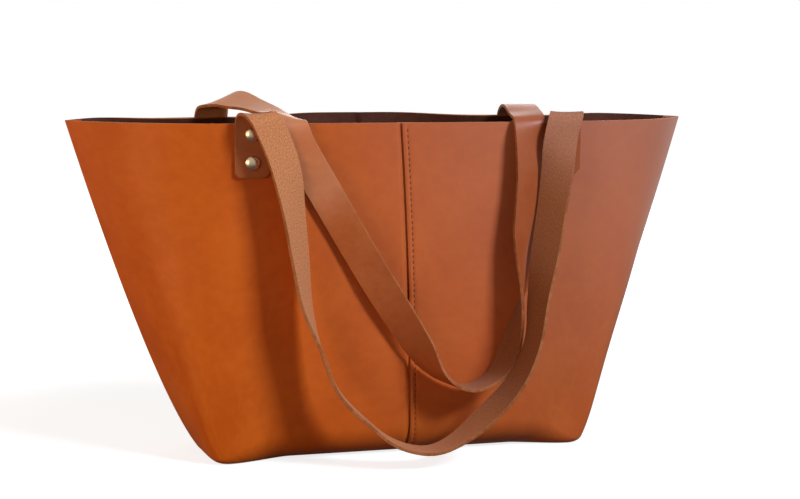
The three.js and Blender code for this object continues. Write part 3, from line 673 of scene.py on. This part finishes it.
def strap_line(stops):
    """Places, width directions and stop numbers along a strap, from a smooth curve through its stops."""
    points = np.array([s[0] for s in stops])
    across = np.array([s[1] for s in stops])
    points = np.concatenate([[2 * points[0] - points[1]], points, [2 * points[-1] - points[-2]]])
    across = np.concatenate([[across[0]], across, [across[-1]]])
    places, widths, numbers = [], [], []
    for i in range(1, len(points) - 2):
        knots = np.cumsum(np.r_[0, np.sqrt(np.linalg.norm(np.diff(points[i - 1:i + 3], axis=0), axis=1))])
        count = max(2, math.ceil(np.linalg.norm(points[i + 1] - points[i]) / STRAP_STEP))
        for share in np.arange(count) / count:
            t = lerp(knots[1], knots[2], share)
            near = [points[i - 1:i + 3], across[i - 1:i + 3]]
            for spans in CURVE_ROUNDS:
                near = [[row[j] + (row[j + 1] - row[j]) * (t - knots[p]) / (knots[q] - knots[p])
                         for j, (p, q) in enumerate(spans)] for row in near]
            places.append(near[0][0])
            widths.append(near[1][0])
            numbers.append(i - 1 + share)
    places.append(points[-2])
    widths.append(across[-2])
    numbers.append(len(stops) - 1)
    return np.array(places), np.array(widths), np.array(numbers)


def strap_grids(stops):
    """The grain side and the flesh side of a strap, and each row's stop number and length from the end."""
    places, widths, numbers = strap_line(stops)
    for _ in range(EASE_PASSES):
        places[2:-2] = 0.5 * places[2:-2] + 0.25 * (places[1:-3] + places[3:-1])
    along = np.gradient(places, axis=0)
    along /= np.linalg.norm(along, axis=1, keepdims=True)
    widths = widths - along * np.sum(widths * along, axis=1, keepdims=True)
    widths /= np.linalg.norm(widths, axis=1, keepdims=True)
    out = np.cross(along, widths)
    length = np.cumsum(np.r_[0, np.linalg.norm(np.diff(places, axis=0), axis=1)])
    to_end = np.minimum(length, length[-1] - length)
    corner = np.clip(TAB_CORNER - to_end, 0, TAB_CORNER)
    half = STRAP_WIDTH / 2 - TAB_CORNER + np.sqrt(TAB_CORNER ** 2 - corner ** 2)
    middle = places[:, None] + widths[:, None] * (half[:, None] * STRAP_COLUMNS)[..., None]
    return middle + out[:, None] * STRAP / 2, middle - out[:, None] * STRAP / 2, numbers, length


# Painted light and shade along a strap from the end of its left tab: place in mm, tone and share of that
# tone.
# On the grain: a painted shadow over the first 38 mm, the front strap's left tab under its fold, a pale
# painted sheen from 60 to 185 mm where the back strap crosses the mouth, and deep brown from 215 mm on.
GRAIN_PAINTED_SHADE_AND_SHEEN = [(0, "#3A2418", 0.3), (38, "#3A2418", 0.3), (60, "#A89A80", 0.25), (95, "#A89A80", 0.3),
              (150, "#D8B090", 0.1), (185, "#E8C0A0", 0.2), (215, "#7A2E0E", 0.1), (300, "#7A2E0E", 0.42),
              (350, "#7A2E0E", 0.4), (440, "#7A2E0E", 0.6), (700, "#7A2E0E", 0.6)]
# On the flesh: painted shade that darkens it from 345 mm on, down the front strap's right leg, and a greyer
# mauve painted sheen from 605 mm to the right tab.
FLESH_PAINTED_SHADE_AND_SHEEN = [(0, "#4A1606", 0.0), (300, "#4A1606", 0.0), (345, "#4A1606", 0.28), (400, "#4A1606", 0.62),
              (470, "#4A1606", 0.61), (545, "#521E10", 0.45), (605, "#7A5A60", 0.4), (700, "#7A5A60", 0.4)]
# Vegetable tanned grain, redder than the panels from hands: a satin with a painted shadow over its left
# riveted end, a pale painted sheen where it crosses the mouth and bends, and deep brown from there on.
# Its pores are drawn coarse to show.
strap_grain = leather_side("strap_grain_with_painted_shade_and_sheen", dark="#B8622F", light="#C6713E", cloud=40, fleck=6,
                           fibre=1.2, depth=0.05, rough=0.46, spread=0.05, specular=0.35, painted_tones_along=GRAIN_PAINTED_SHADE_AND_SHEEN)
# The flesh of the straps, brushed to a suede: pale tan and quite dull, with a speckled nap that is drawn
# coarser than real fibres so that it shows, painted shade that darkens its second half, and a greyer mauve
# painted sheen near its right end.
strap_flesh = leather_side("strap_flesh_sueded", dark="#B0693E", light="#CC8D60", cloud=1.2, fleck=0.7,
                           fibre=0.7, depth=0.1, rough=0.9, spread=0.04, specular=0.15, sheen=0.25,
                           painted_tones_along=FLESH_PAINTED_SHADE_AND_SHEEN)
# The cut edge of a strap, rubbed brown and a little burnished. Its fibres are drawn coarse to show.
strap_edge = leather_side("strap_edge_cut", dark="#8C5028", light="#A8683E", cloud=10, fleck=2.5,
                          fibre=0.6, depth=0.08, rough=0.65, spread=0.05, specular=0.2)
strap_sides = [strap_grain, strap_flesh, strap_edge]

left_tab = tab_stops(FRONT, FRONT["tabs"][0], sign=-1)
right_tab = tab_stops(FRONT, FRONT["tabs"][1], sign=1)
left_leg = leg_stops(FRONT_LEFT_LEG, FRONT_LOOP, FRONT["tabs"][0], start=180, turn=1)
right_leg = leg_stops(FRONT_RIGHT_LEG, FRONT_LOOP, FRONT["tabs"][1], start=360, turn=-1)
front_stops = left_tab + fold_stops(left_tab, left_leg) + left_leg + loop_bottom(FRONT_LOOP, FRONT["tabs"][0])
front_stops += right_leg[::-1] + fold_stops(right_tab, right_leg)[::-1] + right_tab[::-1]
grain, flesh, _, front_length = strap_grids(front_stops)
front_strap = sheet_object("tote_front_strap", grain, flesh, strap_sides)
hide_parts("front_strap_left_tab", "front_strap_left_fold", "front_strap_loop",
            "front_strap_right_fold", "front_strap_right_tab")
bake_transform(front_strap)

left_tab = tab_stops(BACK, BACK["tabs"][0], sign=1)
right_tab = tab_stops(BACK, BACK["tabs"][1], sign=-1)
left_leg = leg_stops(BACK_LEFT_LEG, BACK_LOOP, CROSS_LEFT, start=0, turn=-1)
right_leg = leg_stops(BACK_RIGHT_LEG, BACK_LOOP, CROSS_RIGHT, start=-180, turn=1)
left_span = span_stops(LEFT_SPAN, left_tab, CROSS_LEFT, ARCH_LEFT, sign=1)
right_span = span_stops(RIGHT_SPAN, right_tab, CROSS_RIGHT, ARCH_RIGHT, sign=-1)
back_stops = left_tab + left_span + left_leg + loop_bottom(BACK_LOOP, CROSS_LEFT)
back_stops += right_leg[::-1] + right_span[::-1] + right_tab[::-1]
grain, flesh, numbers, back_length = strap_grids(back_stops)
# It is parted in the middle of each span, where it only moves, into two ends and the carrying loop.
PARTING = 6.5  # number of stops from either end to a parting
part_left = int(np.searchsorted(numbers, PARTING))
part_right = int(np.searchsorted(numbers, len(back_stops) - 1 - PARTING))
ends = [("left", left_tab, slice(0, part_left + 1), LAST_ROW),
        ("right", right_tab, slice(part_right, None), FIRST_ROW)]
for hand, tab, stretch, parted in ends:
    end = sheet_object(f"tote_back_strap_{hand}_end", grain[stretch], flesh[stretch], strap_sides,
                       open_rows=[parted], lead=back_length[stretch][0])
    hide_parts(f"back_strap_{hand}_tab", f"back_strap_{hand}_turn", f"back_strap_{hand}_span")
    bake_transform(end)
stretch = slice(part_left, part_right + 1)
back_loop = sheet_object("tote_back_strap_loop", grain[stretch], flesh[stretch], strap_sides,
                         open_rows=[FIRST_ROW, LAST_ROW], lead=back_length[part_left])
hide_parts("back_strap_left_bend", "back_strap_loop", "back_strap_right_leg",
            "back_strap_right_bend")
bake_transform(back_loop)

# Rivets
# Eight double cap rivets of pale brass, two through each strap end: a polished domed cap outside, pressed on
# to the post of a flatter cap inside the bag.
RIVET_CAP = 10.0
RIVET_DOME = 2.6  # height of the cap outside
RIVET_HEAD = 1.6  # height of the one inside
RIVET_FROM_RIM = 7.5  # upper rivet below the rim
RIVET_PITCH = 20.0  # upper to lower rivet
RIVET_SIDES = 40
CAP_SEAT = TAB_SEAT + STRAP + SEAM_GAP
HEAD_SEAT = -HIDE - SEAM_GAP
POST_RADIUS = 1.5
SOCKET_LIP = 0.4  # from the post to the cap's underside
ROLLED_RIM = [(-0.5, 0), (-0.12, 0.1), (0, 0.38), (-0.1, 0.62)]  # out from a cap's edge, up from its seat
DOME_FOOT = 0.62  # height of the dome's foot
DOME_SHARE = 0.985  # share of the cap that the dome takes up
DOME_TURN = (0.16, math.pi / 2, 12)  # angles from the rim to the top, and steps
SCRATCH = 0.8  # drawn coarser than real scratches, which are too fine to show


def cap_profile(height):
    """Distances from a cap's middle line and heights over its seat, from its underside to its top."""
    radius = RIVET_CAP / 2
    rim = [(POST_RADIUS + SOCKET_LIP, 0)] + [(radius + out, up) for out, up in ROLLED_RIM]
    dome = [(radius * DOME_SHARE * math.cos(a), DOME_FOOT + (height - DOME_FOOT) * math.sin(a))
            for a in np.linspace(*DOME_TURN)[:-1]]
    return rim + dome


def turned(name, profile, spot, out):
    """A round piece turned about the line that a rivet stands on."""
    across = np.cross(out, [0, 0, 1.0])
    across /= np.linalg.norm(across)
    up = np.cross(across, out)
    angle = np.linspace(0, 2 * math.pi, RIVET_SIDES + 1)[:-1]
    ring = np.outer(np.cos(angle), across) + np.outer(np.sin(angle), up)
    faces = tube_faces(len(profile), RIVET_SIDES)
    piece = new_piece(name, np.concatenate([spot + r * ring + h * out for r, h in profile]), faces)
    piece.data.polygons[len(faces) - 2].use_smooth = False
    return piece


# Pale brass, stamped and tumbled to a polish: a warm mirror softened by fine scratches.
pale_brass = bpy.data.materials.new("brass_stamped_polished")
pale_brass.use_nodes = True
tree = pale_brass.node_tree
shader = tree.nodes["Principled BSDF"]
place = add_node(tree, "ShaderNodeTexCoord", {}).outputs["Object"]
scratch = add_node(tree, "ShaderNodeTexNoise", {"Vector": place, "Scale": 1000 / SCRATCH, "Detail": 3.0})
scuff = add_node(tree, "ShaderNodeMapRange", {"Value": scratch.outputs["Fac"], "To Min": 0.22,
                                              "To Max": 0.36})
tarnish = add_node(tree, "ShaderNodeMix", {0: scratch.outputs["Fac"], COLOUR_A: linear("#F0D2A6"),
                                           COLOUR_B: linear("#FAE6C6")}, data_type="RGBA")
tree.links.new(tarnish.outputs[COLOUR_OUT], shader.inputs["Base Color"])
tree.links.new(scuff.outputs[0], shader.inputs["Roughness"])
shader.inputs["Metallic"].default_value = 1.0

for face in (FRONT, BACK):
    for hand, tab in zip(("left", "right"), face["tabs"]):
        for level, down in (("upper", RIVET_FROM_RIM), ("lower", RIVET_FROM_RIM + RIVET_PITCH)):
            spot, _, out = skin_frame(face, tab, HEIGHT - down)
            node = f"{face['name']}_{hand}_{level}_rivet"
            cap = turned(f"{node}_dome", cap_profile(RIVET_DOME), spot + out * CAP_SEAT, out)
            stem = [(POST_RADIUS, HEAD_SEAT - CAP_SEAT), (POST_RADIUS, 0.0)]
            post = turned(f"{node}_head", stem + cap_profile(RIVET_HEAD), spot + out * HEAD_SEAT, -out)
            for piece, part in ((cap, "cap"), (post, "post")):
                piece.data.materials.append(pale_brass)
                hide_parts(f"{node}_{part}")
                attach(piece, "bag")

# Floor, light and camera
# A painted floor that runs out of sight and an even pale surround, with one soft window from the right, two
# weak warm fills on the left and one behind. Polished metal mirrors a studio that is white on the right and
# darker on the left. Sizes are in metres.
FLOOR_SIDE = 12.0
FLOOR_DROP = 0.0003  # keeps the floor just clear of the base
WHITE = "#FFFFFF"
WHITE_SIDE = (0.8, 0.6, 0.0)  # direction of the mirrored studio's white side
SIDE_EASE = (-0.5, 0.4)  # shares of that direction between which the studio grows white
DARK_SIDE = 0.45
FLOOR_NEAR, FLOOR_FAR = 0.3, 0.9  # distances between which the floor goes from shaded to white
FLOOR_SHADE = 0.8
MIRROR_NEAR, MIRROR_FAR = 0.4, 1.4  # distances between which the mirrored floor grows bright
MIRROR_SHADE = 0.15
SURROUND = 0.11  # strength of the light from all round


def seen_and_mirrored(tree, seen_as, mirrored_as, lit_as, surface):
    """What is seen directly or through something clear, what polish mirrors and what lights the bag."""
    path = add_node(tree, "ShaderNodeLightPath", {}).outputs
    seen = add_node(tree, "ShaderNodeMath", {0: path["Is Camera Ray"], 1: path["Is Transmission Ray"]},
                    operation="MAXIMUM")
    mirrored = add_node(tree, "ShaderNodeMixShader", {0: path["Is Glossy Ray"], 1: lit_as, 2: mirrored_as})
    either = add_node(tree, "ShaderNodeMixShader", {0: seen.outputs[0], 1: mirrored.outputs[0], 2: seen_as})
    tree.links.new(either.outputs[0], surface)


def studio_side(tree, toward, white):
    """How bright the mirrored studio is in a direction."""
    side = add_node(tree, "ShaderNodeVectorMath", {0: toward, 1: WHITE_SIDE}, operation="DOT_PRODUCT")
    return add_node(tree, "ShaderNodeMapRange", {"Value": side.outputs["Value"], "From Min": SIDE_EASE[0],
                                                 "From Max": SIDE_EASE[1], "To Min": DARK_SIDE,
                                                 "To Max": white})


floor_mesh = bpy.data.meshes.new("floor")
half = FLOOR_SIDE / 2
floor_corners = [(-half, -half, 0), (half, -half, 0), (half, half, 0), (-half, half, 0)]
floor_mesh.from_pydata(floor_corners, [], [(0, 1, 2, 3)])
floor = bpy.data.objects.new("floor", floor_mesh)
floor.location.z = -FLOOR_DROP
bpy.context.collection.objects.link(floor)

# Pale paint, rolled on: flat white to the eye with the bag's soft shadow on it.
pale_floor = bpy.data.materials.new("floor_painted_pale")
pale_floor.use_nodes = True
tree = pale_floor.node_tree
tree.nodes.remove(tree.nodes["Principled BSDF"])
place = add_node(tree, "ShaderNodeTexCoord", {}).outputs["Object"]
away = add_node(tree, "ShaderNodeVectorMath", {0: place}, operation="LENGTH").outputs["Value"]
near = add_node(tree, "ShaderNodeMapRange", {"Value": away, "From Min": FLOOR_NEAR, "From Max": FLOOR_FAR,
                                             "To Min": FLOOR_SHADE, "To Max": 1.0})
glow = add_node(tree, "ShaderNodeEmission", {"Color": linear(WHITE), "Strength": near.outputs[0]})
shadowed = add_node(tree, "ShaderNodeBsdfDiffuse", {"Color": linear("#A0A0A0")})
pale = add_node(tree, "ShaderNodeAddShader", {0: shadowed.outputs[0], 1: glow.outputs[0]})
dull = add_node(tree, "ShaderNodeBsdfDiffuse", {"Color": linear("#6A625C")})
toward = add_node(tree, "ShaderNodeVectorMath", {0: place}, operation="NORMALIZE").outputs[0]
far = add_node(tree, "ShaderNodeMapRange", {"Value": away, "From Min": MIRROR_NEAR, "From Max": MIRROR_FAR,
                                            "To Min": MIRROR_SHADE, "To Max": 1.0})
studio = studio_side(tree, toward, white=0.9)
bright = add_node(tree, "ShaderNodeMath", {0: far.outputs[0], 1: studio.outputs[0]}, operation="MULTIPLY")
shine = add_node(tree, "ShaderNodeEmission", {"Color": linear(WHITE), "Strength": bright.outputs[0]})
seen_and_mirrored(tree, pale.outputs[0], shine.outputs[0], dull.outputs[0],
                  tree.nodes["Material Output"].inputs["Surface"])
floor_mesh.materials.append(pale_floor)

world = bpy.data.worlds.new("pale_surround")
bpy.context.scene.world = world
world.use_nodes = True
tree = world.node_tree
room = tree.nodes["Background"]
room.inputs["Color"].default_value = linear("#F4F1EE")
room.inputs["Strength"].default_value = SURROUND
toward = add_node(tree, "ShaderNodeTexCoord", {}).outputs["Generated"]
bright = studio_side(tree, toward, white=1.0)
studio = add_node(tree, "ShaderNodeBackground", {"Color": linear(WHITE), "Strength": bright.outputs[0]})
white = add_node(tree, "ShaderNodeBackground", {"Color": linear(WHITE), "Strength": 1.0})
seen_and_mirrored(tree, white.outputs[0], studio.outputs[0], room.outputs[0],
                  tree.nodes["World Output"].inputs["Surface"])


def soft_light(name, place, aim, size, watts, colour):
    """A lamp behind a diffuser, turned to face its aim."""
    lamp = bpy.data.lights.new(name, "AREA")
    lamp.shape = "RECTANGLE"
    lamp.size, lamp.size_y = size
    lamp.energy = watts
    lamp.color = linear(colour)[:3]
    holder = bpy.data.objects.new(name, lamp)
    holder.location = place
    holder.rotation_euler = (Vector(aim) - Vector(place)).to_track_quat("-Z", "Y").to_euler()
    bpy.context.collection.objects.link(holder)


soft_light("window", place=(1.5, -2.3, 2.2), aim=(0, 0, 0.13), size=(0.8, 0.9), watts=123, colour="#EAF1FF")
soft_light("warm_fill", place=(-0.85, -0.7, 0.24), aim=(-0.1, 0, 0.1), size=(0.6, 0.4), watts=3.6,
           colour="#FFDDB8")
soft_light("side_fill", place=(-1.25, 0.12, 0.4), aim=(-0.2, 0, 0.12), size=(0.5, 0.5), watts=5.5,
           colour="#FFE8CC")
soft_light("back_fill", place=(0.9, 2.2, 0.9), aim=(0, 0, 0.13), size=(1.4, 1.0), watts=19,
           colour="#F6F2EE")

AZIMUTH = math.radians(15.53)
LEVEL_DISTANCE = 1.2
EYE_HEIGHT = 0.2717
AIM_HEIGHT = 140  # millimetres
SENSOR_WIDTH = 36.0  # millimetres
PHOTO_WIDTH = 800  # pixels
FOCAL_LENGTH = 1618.6  # pixels
SHIFT_X, SHIFT_Y = 12.7, 6.7  # pixels
target = Vector(in_frame([0, 0, AIM_HEIGHT]))
eye = target + LEVEL_DISTANCE * Vector((-math.sin(AZIMUTH), -math.cos(AZIMUTH), 0))
eye.z = EYE_HEIGHT
view = bpy.data.cameras.new("camera")
view.sensor_width = SENSOR_WIDTH
view.lens = FOCAL_LENGTH / PHOTO_WIDTH * SENSOR_WIDTH
view.shift_x = SHIFT_X / PHOTO_WIDTH
view.shift_y = SHIFT_Y / PHOTO_WIDTH
camera = bpy.data.objects.new("camera", view)
camera.location = eye
camera.rotation_euler = (target - eye).to_track_quat("-Z", "Y").to_euler()
bpy.context.collection.objects.link(camera)
bpy.context.scene.camera = camera
bpy.context.scene.view_settings.view_transform = "Standard"
